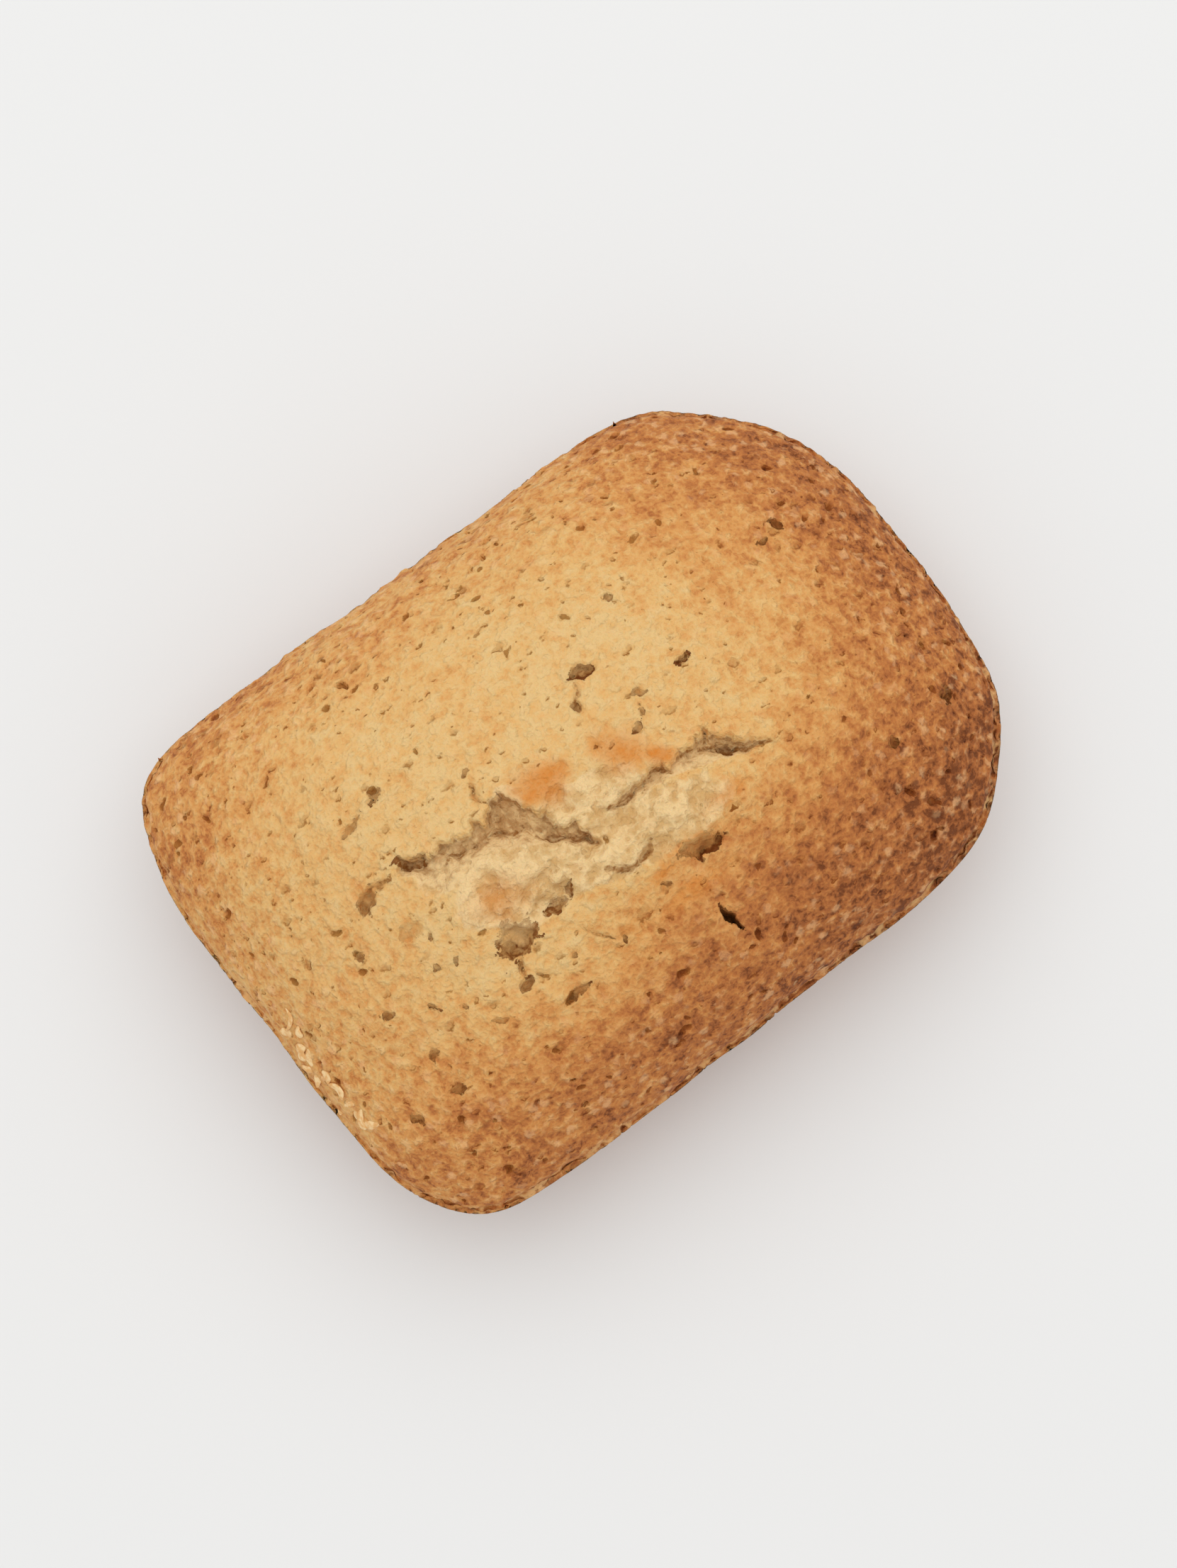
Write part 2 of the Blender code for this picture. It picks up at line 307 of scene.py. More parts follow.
# the torn middle: runs of the crack, fine splits in and beside it, pits, and where the crumb lies bare
crackForm = {
    "raggedness": ((1.6, 0.34), (0.6, 0.22)),     # cell and reach of the tearing
    "unevenness": ((1.0, 1.1, 43, 3),),           # of the slopes, as noises
    # share of the way down from lip to toe, and share of the depth there
    "profile": ((0.0, 0.07, 0.30, 0.42, 0.55, 0.80, 1.0), (0.0, 0.70, 0.86, 1.0, 0.74, 0.26, 0.0)),
    "lipRise": 0.35,
    "teeth": ((1.15, 0.13), (0.52, 0.07)),        # length and height of the teeth along a torn lip
    # lip of the crust, toe of the slope of crumb below it, depth at both ends and the middle
    "runs": (
        {
            "lip": ((-16.2, 1.8), (-15.4, 2.4), (-14.7, 1.8), (-14.0, 1.5), (-13.4, 0.8), (-12.7, 1.2),
                    (-11.5, 1.1), (-10.6, 0.4), (-9.5, 0.9), (-8.6, 0.4), (-7.6, 1.3), (-6.3, 1.2),
                    (-6.1, 0.0), (-5.6, -0.7), (-5.0, -1.8), (-4.5, -3.0), (-3.6, -3.8), (-3.1, -4.6),
                    (-2.7, -6.0)),
            "toe": ((-16.2, 1.8), (-15.8, 0.6), (-14.9, -0.9), (-13.7, -2.1), (-12.1, -2.0), (-10.3, -1.8),
                    (-9.1, -2.2), (-7.6, -2.8), (-6.4, -3.6), (-5.0, -4.7), (-3.6, -5.9), (-2.7, -6.0)),
            "depth": (0.8, 1.3, 0.9),
        },
        {
            "lip": ((-1.2, -4.5), (0.3, -4.3), (1.5, -4.5), (3.3, -4.2), (4.3, -4.3), (5.0, -4.8),
                    (5.8, -4.3), (6.8, -4.6), (7.8, -4.4), (8.6, -3.9), (9.0, -4.9), (10.2, -5.9),
                    (11.2, -6.4), (12.3, -7.4)),
            "toe": ((-1.2, -4.5), (0.0, -5.0), (1.3, -5.6), (2.4, -5.5), (3.8, -5.3), (5.4, -5.7),
                    (6.2, -6.3), (7.2, -6.4), (8.2, -6.8), (9.4, -7.1), (10.6, -7.3), (12.3, -7.4)),
            "depth": (0.5, 0.8, 1.0),
        },
    ),
    # path, half width, depth, darkness of the painted shade
    "splits": (
        (((-16.0, 1.9), (-15.3, 1.9), (-14.6, 1.3), (-13.7, 0.7)), 0.40, 0.4, 0.70),
        (((-13.0, -0.2), (-12.4, 0.2), (-11.9, -0.3), (-10.5, -0.5)), 0.17, 0.45, 0.95),
        (((-9.3, -0.2), (-8.6, -0.5), (-7.8, -1.3), (-6.9, -1.4)), 0.17, 0.50, 0.85),
        (((-6.2, -2.7), (-5.2, -3.8), (-4.2, -4.5), (-3.4, -5.2), (-2.8, -6.0)), 0.24, 0.60, 0.85),
        (((-1.0, -4.5), (0.2, -4.6), (1.5, -4.9), (2.6, -4.5), (3.9, -4.4), (5.1, -4.9)), 0.19, 0.45, 0.80),
        (((6.9, -4.6), (8.1, -5.3), (9.2, -6.3), (10.2, -6.7), (12.1, -7.4)), 0.32, 0.6, 0.80),
        (((8.7, -3.9), (8.3, -4.9)), 0.22, 0.5, 0.60),
        (((-8.0, 3.3), (-8.2, 2.2), (-7.8, 1.4)), 0.20, 0.6, 0.65),
        (((-3.6, -8.1), (-2.7, -8.7), (-1.6, -9.0), (-0.5, -8.7), (0.5, -8.2)), 0.25, 0.45, 0.88),
        (((-7.6, -10.2), (-7.1, -11.4), (-6.2, -12.2)), 0.14, 0.30, 0.65),
        (((-2.8, -12.7), (-1.9, -11.9)), 0.15, 0.20, 0.40),
        (((4.4, -10.2), (4.8, -8.9), (6.3, -8.3)), 0.26, 0.30, 0.35),
        (((2.8, 4.8), (2.7, 4.0), (2.2, 3.1)), 0.20, 0.5, 0.70),
        (((-12.7, -9.2), (-13.1, -9.9), (-13.4, -10.6)), 0.26, 0.7, 0.85),
        (((-19.0, 2.1), (-18.0, 1.7), (-17.0, 1.6)), 0.32, 0.4, 0.85),
    ),
    # bare crumb: centre, half length, half width, turn in degrees
    "crumbs": (
        (-1.0, -7.0, 9.5, 2.6, -10.0),
        (-9.5, -5.0, 5.5, 3.0, -12.0),
        (-11.5, -1.2, 4.5, 1.6, -14.0),
        (-1.0, -3.0, 4.4, 1.8, -14.0),
        (-6.6, 0.4, 1.5, 1.3, 0.0),
    ),
    # scorched spots: centre, half length, half width, turn in degrees, strength
    "scorches": (
        (-3.8, 0.1, 3.1, 2.0, -15.0, 0.78),
        (-3.2, -0.6, 1.9, 0.8, -15.0, 0.60),
        (2.8, -1.7, 3.2, 2.1, -42.0, 0.70),
        (4.7, -3.6, 1.8, 1.1, -35.0, 0.85),
        (-11.2, -4.7, 3.3, 2.2, -20.0, 0.42),
        (-0.6, -10.8, 2.2, 0.8, 10.0, 0.60),
        (7.2, -8.9, 2.4, 0.9, 5.0, 0.42),
        (0.8, -12.9, 4.4, 1.0, 0.0, 0.40),
        (-5.0, -12.6, 3.0, 0.9, 0.0, 0.25),
    ),
}

pitForm = {
    "squareness": 1.35,                          # 2 is an oval, and 1 has four corners
    "shadeShift": 0.7,                           # how far the painted shade's dark side lies off a pit's middle
    "shades": (0.62, 1.30),                      # darkness of the painted shade on the lit side and on the dark side
    "raggedness": (0.50, 0.28),                  # cell and reach of the tearing
    # centre, half length, half width, turn in degrees, depth, darkness of the painted shade
    "pits": (
        (-19.7, 1.5, 1.25, 0.72, 30.0, 0.9, 0.60),
        (-15.0, 1.7, 1.35, 0.55, -36.0, 0.3, 0.75),
        (-12.0, -8.0, 2.00, 1.55, 5.0, 0.8, 0.75),
        (-12.9, -7.8, 0.65, 0.60, 60.0, 0.4, 0.95),
        (-13.6, -10.9, 0.75, 0.45, 20.0, 0.8, 0.60),
        (3.0, -10.8, 1.90, 0.95, -16.0, 0.8, 0.55),
        (3.6, -11.4, 1.30, 0.52, 8.0, 0.5, 1.10),
        (9.2, -6.3, 0.8, 0.42, -35.0, 0.6, 1.10),
        (3.8, 5.1, 1.3, 0.60, -8.0, 0.7, 1.05),
        (2.1, 3.1, 0.35, 0.50, 0.0, 0.7, 0.70),
        (-14.2, 7.3, 0.85, 0.50, 35.0, 0.8, 0.80),
        (-17.0, 6.7, 1.1, 0.36, 15.0, 0.5, 0.55),
        (2.0, -16.1, 0.27, 1.25, 14.0, 2.4, 1.50),
        (10.6, 1.5, 0.72, 0.46, 15.0, 0.8, 0.95),
        (4.8, -0.8, 0.60, 0.40, 30.0, 0.6, 0.80),
        (5.7, 0.0, 0.55, 0.22, 60.0, 0.5, 0.70),
        (6.4, 1.1, 0.55, 0.30, -30.0, 0.4, 0.50),
        (24.0, 6.6, 0.42, 0.75, 35.0, 0.9, 1.05),
        (22.1, 5.8, 0.60, 0.30, 10.0, 0.5, 0.80),
        (26.5, -12.3, 0.60, 0.75, -30.0, 0.8, 1.00),
        (-22.6, -1.2, 0.50, 0.48, 0.0, 0.5, 0.60),
        (-23.4, -6.2, 0.40, 0.60, 20.0, 0.5, 0.65),
        (-22.5, -10.6, 0.45, 0.50, 0.0, 0.5, 0.70),
        (-22.8, -13.6, 0.55, 0.40, 0.0, 0.5, 0.75),
        (-26.7, -13.5, 0.40, 0.60, 30.0, 0.5, 0.80),
        (-11.1, -13.7, 1.1, 0.34, 8.0, 0.5, 0.85),
        (9.3, 8.8, 0.40, 0.38, 0.0, 0.4, 0.60),
        (20.1, -13.0, 0.60, 0.45, 30.0, 0.6, 0.85),
        (-18.1, -2.2, 1.10, 0.70, 15.0, 0.35, 0.25),
        (-7.7, 4.3, 0.42, 0.28, 0.0, 0.4, 0.55),
        (-8.2, -7.6, 0.95, 0.45, -8.0, 0.5, 0.45),
        (-6.6, -7.4, 0.65, 0.26, 50.0, 0.5, 0.85),
        (-0.8, -11.4, 0.45, 0.24, 0.0, 0.3, 0.80),
        (-20.3, -7.8, 0.55, 0.30, -60.0, 0.4, 0.75),
        (-16.7, -6.2, 0.45, 0.24, 30.0, 0.3, 0.70),
        (-18.2, -5.7, 0.34, 0.24, 10.0, 0.3, 0.65),
        (-17.2, -3.7, 0.30, 0.32, 0.0, 0.3, 0.65),
        (-18.4, -9.4, 0.36, 0.26, 0.0, 0.3, 0.65),
        (-9.5, -11.2, 0.34, 0.28, 0.0, 0.3, 0.70),
        (-12.2, -11.2, 0.28, 0.26, 0.0, 0.3, 0.70),
        (-5.6, -12.8, 0.34, 0.28, 0.0, 0.3, 0.80),
        (-16.6, -12.0, 0.55, 0.26, -30.0, 0.3, 0.60),
    ),
}

poreForm = {
    "seed": 41,
    "bumpCount": 170,
    "shellCount": 110,
    "halfWidth": (0.15, 0.32),
    "longest": 2.4,                              # half length for each half width
    "depth": (0.15, 0.38),
    "raggedness": (0.55, 0.30),
}


def rimShape(angle):
    total = np.zeros(np.shape(angle))
    for facing, distance in cakeForm["rimFlats"]:
        toward = np.maximum(np.cos(angle - math.radians(facing)), 0.0)
        total = total + (toward / distance) ** cakeForm["rimSharpness"]
    waves = sum(share * np.sin(count * angle + phase) for count, share, phase in cakeForm["rimWaves"])
    return total ** (-1 / cakeForm["rimSharpness"]) * (1.0 + waves)


def rimFit():
    # stretch and shift that bring the rim's shape to the cake's length and width
    turn = np.linspace(0.0, 2 * math.pi, 1440, endpoint=False)
    x = rimShape(turn) * np.cos(turn)
    y = rimShape(turn) * np.sin(turn)
    stretch = (cakeForm["length"] / np.ptp(x), cakeForm["width"] / np.ptp(y))
    shift = (cakeForm["length"] / 2 - x.max() * stretch[0] - cakeForm["hubX"],
             cakeForm["width"] / 2 - y.max() * stretch[1])
    return stretch, shift


rimStretch, rimShift = rimFit()


def rimPoint(angle):
    radius = rimShape(angle)
    x = radius * np.cos(angle) * rimStretch[0] + rimShift[0]
    y = radius * np.sin(angle) * rimStretch[1] + rimShift[1]
    return x, y


def contourOf(angle, share, rimDistance):
    # 0 at the hub and 1 at the rim. The lines of equal share are ovals in the middle
    oval = 1 / np.hypot(np.cos(angle) / (cakeForm["length"] / 2), np.sin(angle) / (cakeForm["width"] / 2))
    ovalness = cakeForm["ovalMiddle"] * (1.0 - share**2)
    return share * (1.0 + ovalness * (rimDistance / oval - 1.0))


def tornPlace(x, y):
    # shifts the place that the cracks and pits are read at, so that their edges are torn and not drawn
    flat = flatPoints(x, y)
    tornX = x.copy()
    tornY = y.copy()
    for cell, reach in crackForm["raggedness"]:
        tornX += reach * noise(flat, cell, 11, 2)
        tornY += reach * noise(flat, cell, 17, 2)
    return tornX, tornY


def teeth(walked):
    # how far a torn lip reaches out at a length along it
    flat = flatPoints(walked, np.zeros(walked.shape))
    reach = np.zeros(walked.shape)
    for length, height in crackForm["teeth"]:
        phase = walked / length + 0.9 * noise(flat, 2.0 * length, 19)
        reach += height * np.cos(2 * math.pi * phase)
    return reach


def ovalReach(x, y, centreX, centreY, halfLength, halfWidth, turn, power=2.0):
    # 0 in the middle of an oval and 1 on its edge. A power near 1 gives it corners
    cosine = math.cos(math.radians(turn))
    sine = math.sin(math.radians(turn))
    along = np.abs((x - centreX) * cosine + (y - centreY) * sine) / halfLength
    across = np.abs((y - centreY) * cosine - (x - centreX) * sine) / halfWidth
    return (along**power + across**power) ** (1 / power)


def addRuns(fields, tornX, tornY, uneven):
    # the wide runs of the crack, steep under their lip, with a low rise of crust along it
    for run in crackForm["runs"]:
        fromLip, share, walked = pathDistance(tornX, tornY, run["lip"])
        fromToe = pathDistance(tornX, tornY, run["toe"])[0]
        fromLip = fromLip + teeth(walked) * np.clip(fromToe / 1.5, 0.0, 1.0)
        inRun = np.minimum(-fromLip, fromToe)
        width = np.maximum(-fromLip + fromToe, 1e-6)
        wayDown = np.clip(-fromLip / width + 0.18 * uneven * ease(inRun, 0.1, 0.6), 0.0, 1.0)
        profile = np.interp(np.where(inRun > 0, wayDown, 0.0), *crackForm["profile"])
        depth = np.interp(share, (0.0, 0.5, 1.0), run["depth"]) * np.clip(width / 1.4, 0.0, 1.0)
        fields["height"] -= depth * profile * (1.0 + 0.5 * uneven)
        crest = np.exp(-((np.maximum(fromLip, 0.0) - 0.35) / 0.8) ** 2) * (fromLip > 0)
        taper = np.sin(math.pi * np.clip(share, 0.03, 0.97)) ** 0.5
        fields["height"] += crackForm["lipRise"] * crest * taper
        fields["inside"] = np.maximum(fields["inside"], inRun)
        # nearness to the lip, for the painted shadow line under it
        fields["lip"] = np.maximum(fields["lip"], (inRun > 0) * np.clip(1.0 + fromLip / 1.2, 0.0, 1.0))
        fields["sunk"] = np.maximum(fields["sunk"], profile * np.clip(depth / 1.4, 0.0, 1.0))


def addSplits(fields, tornX, tornY):
    for path, halfWidth, depth, darkness in crackForm["splits"]:
        signed, share = pathDistance(tornX, tornY, path)[:2]
        taper = np.sin(math.pi * np.clip(share, 0.05, 0.95)) ** 0.5
        reach = np.abs(signed) / (halfWidth * (0.4 + 0.6 * taper))
        fields["height"] -= depth * taper * np.maximum(1.0 - (reach / 1.4) ** 2, 0.0)
        # how dark the painted shade along the splits is
        fields["split"] = np.maximum(fields["split"], darkness * np.clip(1.0 - reach / 2, 0.0, 1.0))


def addPits(fields, tornX, tornY, flat):
    bumpy = noise(flat, 0.5, 59, 2)
    cell, tearing = pitForm["raggedness"]
    pitX = tornX + tearing * noise(flat, cell, 47, 2)
    pitY = tornY + tearing * noise(flat, cell, 53, 2)
    litShade, darkShade = pitForm["shades"]
    for *oval, depth, darkness in pitForm["pits"]:
        reach = ovalReach(pitX, pitY, *oval, power=pitForm["squareness"])
        drop = pitForm["shadeShift"] * min(oval[2:4])
        farther = ovalReach(pitX - 0.3 * drop, pitY - 0.95 * drop, *oval, power=pitForm["squareness"])
        # the painted shade in a pit is darker on one side than on the other
        darkness = darkness * (litShade + (darkShade - litShade) * ease(farther, 0.65, 1.25))
        fields["height"] -= depth * (1.0 - ease(reach, 0.50, 1.05)) * (1.0 + 0.45 * bumpy)
        nearness = np.clip(1.0 - reach / 2, 0.0, 1.0)
        shade = np.maximum(fields["pitDark"], np.where(nearness > 0.46, darkness, 0.0))
        # outside all pits the nearest one tells the darkness of the painted shade
        fields["pitDark"] = np.where((nearness > fields["pit"]) & (shade == 0), darkness, shade)
        fields["pit"] = np.maximum(fields["pit"], nearness)


def crackFields(x, y):
    # what the tearing does at each place of the bump: height, distance inside a run, nearness to its lip,
    # share of the way down, nearness of the splits with the darkness of their painted shade, and nearness of
    # a pit with the darkness of its painted shade
    tornX, tornY = tornPlace(x, y)
    flat = flatPoints(x, y)
    fields = {"height": np.zeros(x.shape), "inside": np.full(x.shape, -3.0)}
    for name in ("lip", "sunk", "split", "pit", "pitDark"):
        fields[name] = np.zeros(x.shape)
    addRuns(fields, tornX, tornY, layered(flat, crackForm["unevenness"]))
    addSplits(fields, tornX, tornY)
    addPits(fields, tornX, tornY, flat)
    return fields


def crumbShare(x, y):
    # where the torn crust leaves pale crumb bare
    tornX, tornY = tornPlace(x, y)
    share = np.zeros(x.shape)
    for oval in crackForm["crumbs"]:
        share = np.maximum(share, 1.0 - ease(ovalReach(tornX, tornY, *oval), 0.75, 1.15))
    return share


def scorchShare(points):
    ragged = 0.35 * noise(points, 1.6, 71, 2)
    share = np.zeros(len(points))
    for *oval, strength in crackForm["scorches"]:
        reach = ovalReach(points[:, 0], points[:, 1], *oval) + ragged
        share = np.maximum(share, strength * (1.0 - ease(reach, 0.2, 1.2)))
    return share


def swells(x, y, places):
    # rounded rises, each with its centre, reach along x and y, and height
    rise = np.zeros(x.shape)
    for centreX, centreY, reachX, reachY, height in places:
        rise += height * np.exp(-(((x - centreX) / reachX) ** 2) - ((y - centreY) / reachY) ** 2)
    return rise


def bumpHeight(x, y, contour, inset):
    fall = np.maximum(1.0 - contour ** cakeForm["bumpPower"], 0.0) ** cakeForm["bumpRounding"]
    height = cakeForm["bumpHeight"] * fall
    height = height + (1.0 - ease(contour, 0.80, 0.97)) * swells(x, y, cakeForm["shoulders"])
    lip = cakeForm["lipDrop"] * (1.0 - ease(inset, 0.0, cakeForm["lipWidth"]))
    return cakeForm["rimHeight"] + np.maximum(height - lip, 0.0)


def ribWave(x, y):
    # the ribs fan out from beyond the hinge end
    fan = np.degrees(np.arctan2(y, x - cakeForm["fanX"]))
    return np.cos(math.pi * fan / cakeForm["ribAngle"])


def ribShare(x, contour):
    return ease(x, *cakeForm["ribHingeGap"]) * (1.0 - ease(contour, *cakeForm["ribRimGap"]))


def shellHeight(x, y, contour):
    depth = cakeForm["rimHeight"] + cakeForm["bellySunk"]
    belly = depth * np.maximum(1.0 - contour ** cakeForm["bellyPower"], 0.0) ** cakeForm["bellyRounding"]
    rib = np.sqrt(ribWave(x, y) ** 2 + 0.02)
    groove = cakeForm["ribDepth"] * np.clip(1.0 - rib, 0.0, 1.0) * ribShare(x, contour)
    return np.maximum(cakeForm["rimHeight"] - belly + groove, 0.0)


def contourAt(points):
    dx = points[:, 0] - cakeForm["hubX"]
    dy = points[:, 1]
    angle = np.arctan2(dy - rimShift[1], dx - rimShift[0])
    rimX, rimY = rimPoint(angle)
    rimDistance = np.hypot(rimX, rimY)
    distance = np.hypot(dx, dy)
    share = np.minimum(distance / rimDistance, 1.0)
    return contourOf(angle, share, rimDistance)


def addCake():
    bpy.ops.object.select_all(action="DESELECT")
    bpy.ops.mesh.primitive_grid_add(
        x_subdivisions=cakeForm["gridAlong"], y_subdivisions=cakeForm["gridAcross"], size=2)
    cake = bpy.context.object
    cake.name = "cake"
    bpy.ops.object.mode_set(mode="EDIT")
    bpy.ops.mesh.select_all(action="SELECT")
    bpy.ops.mesh.duplicate()
    bpy.ops.mesh.flip_normals()
    bpy.ops.object.mode_set(mode="OBJECT")
    mesh = cake.data
    under = np.empty(len(mesh.vertices), bool)
    mesh.vertices.foreach_get("select", under)

    # the square grid is laid out as a disc, then each ray of the disc is drawn out to the rim
    grid = meshPoints(mesh) * mm
    discX = grid[:, 0] * np.sqrt(1.0 - grid[:, 1] ** 2 / 2)
    discY = grid[:, 1] * np.sqrt(1.0 - grid[:, 0] ** 2 / 2)
    angle = np.arctan2(discY, discX)
    share = np.minimum(np.hypot(discX, discY), 1.0)
    share = np.where(share > 0.9999, 1.0, 1.0 - (1.0 - share) ** cakeForm["gridCrowding"])
    rimX, rimY = rimPoint(angle)
    rimDistance = np.hypot(rimX, rimY)
    contour = contourOf(angle, share, rimDistance)
    x = cakeForm["hubX"] + share * rimX
    y = share * rimY
    inset = (1.0 - share) * rimDistance
    z = np.where(under, shellHeight(x, y, contour), bumpHeight(x, y, contour, inset))
    placePoints(mesh, np.stack([x, y, z], axis=1))
    bpy.ops.object.mode_set(mode="EDIT")
    bpy.ops.mesh.select_all(action="SELECT")
    bpy.ops.mesh.remove_doubles(threshold=0.002 * mm)
    bpy.ops.object.mode_set(mode="OBJECT")
    return cake


def sprinklePores(mesh, rng):
    # a centre, two directions along the surface, two half sizes and a depth for each small hole
    points = meshPoints(mesh)
    normals = meshNormals(mesh)
    contour = contourAt(points)
    onBump = points[:, 2] > cakeForm["rimHeight"] + 0.5
    onShell = (points[:, 2] < cakeForm["rimHeight"] - 0.5) & (points[:, 2] > 0.2)
    pores = []
    for mask, count in ((onBump, poreForm["bumpCount"]), (onShell, poreForm["shellCount"])):
        weight = np.where(mask, 0.45 + 0.75 * ease(contour, 0.3, 0.9), 0.0)
        chosen = rng.choice(len(points), count, replace=False, p=weight / weight.sum())
        for index in chosen:
            normal = Vector(normals[index])
            lengthwise = normal.cross(Vector((rng.normal(), rng.normal() * 1.8, rng.normal()))).normalized()
            sideways = normal.cross(lengthwise)
            size = rng.random() ** 1.8
            halfWidth = poreForm["halfWidth"][0] * (1 - size) + poreForm["halfWidth"][1] * size
            halfLength = halfWidth * rng.uniform(1.0, poreForm["longest"])
            depth = rng.uniform(*poreForm["depth"]) * (0.5 + halfWidth / poreForm["halfWidth"][1])
            directions = (np.array(lengthwise), np.array(sideways))
            pores.append((points[index], *directions, halfLength, halfWidth, depth))
    return pores


def poreNearness(points, pores):
    # 1 in the middle of a pore, a half on its edge, and its depth there
    cell, tearing = poreForm["raggedness"]
    torn = points.copy()
    for axis in range(3):
        torn[:, axis] += tearing * noise(points, cell, 81 + axis, 2)
    tree = kdtree.KDTree(len(torn))
    for index, point in enumerate(torn):
        tree.insert(point, index)
    tree.balance()
    nearness = np.zeros(len(points))
    depth = np.zeros(len(points))
    for centre, lengthwise, sideways, halfLength, halfWidth, poreDepth in pores:
        near = [found[1] for found in tree.find_range(centre, halfLength * 2)]
        if not near:
            continue
        offset = torn[near] - centre
        reach = np.hypot(offset @ lengthwise / halfLength, offset @ sideways / halfWidth)
        nearness[near] = np.maximum(nearness[near], np.clip(1.0 - reach / 2, 0.0, 1.0))
        depth[near] = np.maximum(depth[near], poreDepth * (1.0 - ease(reach, 0.4, 1.3)))
    return nearness, depth


def onBumpShare(points):
    return ease(points[:, 2], cakeForm["rimHeight"] - 0.6, cakeForm["rimHeight"] + 0.8)


def bumpCrustShare(points):
    # the bump's colour reaches a little under the rim
    return ease(points[:, 2], cakeForm["rimHeight"] - 2.2, cakeForm["rimHeight"] - 0.5)


def roughenCake(cake, pores):
    # the tearing, then relief along the normals. Tells which points lie near a small hole
    mesh = cake.data
    points = meshPoints(mesh)
    normals = meshNormals(mesh)
    contour = contourAt(points)
    onBump = onBumpShare(points)
    x = points[:, 0]
    y = points[:, 1]
    fields = crackFields(x, y)
    crumb = np.maximum(crumbShare(x, y), ease(fields["inside"], 0.0, 0.5)) * onBump
    raised = points.copy()
    raised[:, 2] += fields["height"] * onBump

    inner = 1.0 - ease(contour, 0.85, 1.0)
    swell = layered(points, cakeForm["swell"])
    grain = layered(points, cakeForm["grain"])
    relief = onBump * (swell * inner + grain + crumb * layered(points, cakeForm["crumbLumps"]))
    shellRelief = layered(points, cakeForm["shellSwell"]) + cakeForm["shellGrain"] * grain
    relief += (1.0 - onBump) * shellRelief * ease(points[:, 2], 0.0, 0.6)       # none on the flat underneath
    edge = np.exp(-((points[:, 2] - cakeForm["rimHeight"]) / cakeForm["rimReach"]) ** 2)
    relief += edge * (layered(points, cakeForm["rimRelief"]) - cakeForm["rimDrop"])
    nearness, depth = poreNearness(points, pores)
    relief -= depth
    detailed = (nearness > 0.2) | ((fields["pit"] > 0.2) & (points[:, 2] > cakeForm["rimHeight"]))
    raised = raised + normals * relief[:, None]
    softness = cakeForm["crestSoftness"]
    soft = cakeForm["crest"] - softness
    rounded = soft + softness * np.tanh((raised[:, 2] - soft) / softness)
    raised[:, 2] = np.where(raised[:, 2] > soft, rounded, raised[:, 2])
    placePoints(mesh, raised)
    return detailed


def thinCake(cake, detailed):
    # fewer triangles everywhere but in the torn middle and at the small holes
    points = meshPoints(cake.data)
    coarse = cake.vertex_groups.new(name="coarse")
    reach = ovalReach(points[:, 0], points[:, 1], *cakeForm["fineZone"], 0.0)
    outside = np.flatnonzero(((reach > 1.0) | (points[:, 2] < cakeForm["rimHeight"])) & ~detailed)
    coarse.add(outside.tolist(), 1.0, "REPLACE")
    triangleCount = sum(len(face.vertices) - 2 for face in cake.data.polygons)
    ratio = cakeForm["triangles"] / triangleCount
    applyModifier(cake, "DECIMATE", ratio=ratio, vertex_group="coarse", vertex_group_factor=1.0)
    cake.vertex_groups.clear()


brownForm = {
    "contours": ((0.0, 0.25, 0.5, 0.75, 1.0), (0.03, 0.06, 0.15, 0.28, 0.38)),    # contour share, browning
    # strength, then each direction that it grows in with the place where it begins and where it is full; the
    # growth towards the -y side is partly browning and partly painted shade
    "sidesAndShade": (
        (0.27, (1.0, 0.0, 8.0, 33.0)),
        (0.22, (0.0, -1.0, 6.0, 22.0)),
        (0.16, (1.0, 0.0, -18.0, 4.0), (0.0, -1.0, 6.0, 22.0)),
        (0.12, (-0.6, 1.0, 26.0, 36.0)),
        (-0.06, (-1.0, 0.0, 20.0, 32.0), (0.0, -1.0, 4.0, 16.0)),
        (0.05, (1.0, 0.0, 14.0, 30.0)),
        (0.07, (0.0, -1.0, 12.0, 22.0), (1.0, 0.0, -26.0, -12.0)),
        (0.06, (0.0, 1.0, 15.0, 22.0)),
        (0.06, (1.0, 0.0, 9.0, 16.0)),
        (0.10, (0.0, -1.0, 9.0, 17.0)),
        (0.07, (1.0, 0.0, 24.0, 32.0)),
        (0.05, (0.0, -1.0, 7.0, 11.0), (1.0, 0.0, 0.0, 10.0)),
    ),
    "spots": ((5.0, -11.0, 8.0, 2.6, 0.18), (8.0, -17.0, 7.0, 3.0, 0.14)),        # as the shoulders
    "patches": ((0.10, 7.0, 51, 2), (0.06, 2.4, 57, 2)),
    "limits": ((0.0, 0.65, 1.15), (0.0, 0.65, 0.86)),
    "shell": 0.62,
    "shellPatches": ((0.10, 7.0, 61, 2), (0.06, 1.6, 67, 2)),
    "shellRidges": 0.16,
}


def brownShare(points, contour):
    # browning of the bump, with painted shade on its -y side, and of the shell
    x = points[:, 0]
    y = points[:, 1]
    brown = np.interp(contour, *brownForm["contours"]) + swells(x, y, brownForm["spots"])
    for strength, *directions in brownForm["sidesAndShade"]:
        share = strength
        for alongX, alongY, start, full in directions:
            share = share * ease(alongX * x + alongY * y, start, full)
        brown += share
    brown += layered(points, brownForm["patches"])
    ridge = np.abs(ribWave(x, y)) * ribShare(x, contour)
    shellBrown = brownForm["shell"] + layered(points, brownForm["shellPatches"])
    shellBrown += brownForm["shellRidges"] * ease(ridge, 0.35, 1.0)
    return np.interp(brown, *brownForm["limits"]), shellBrown


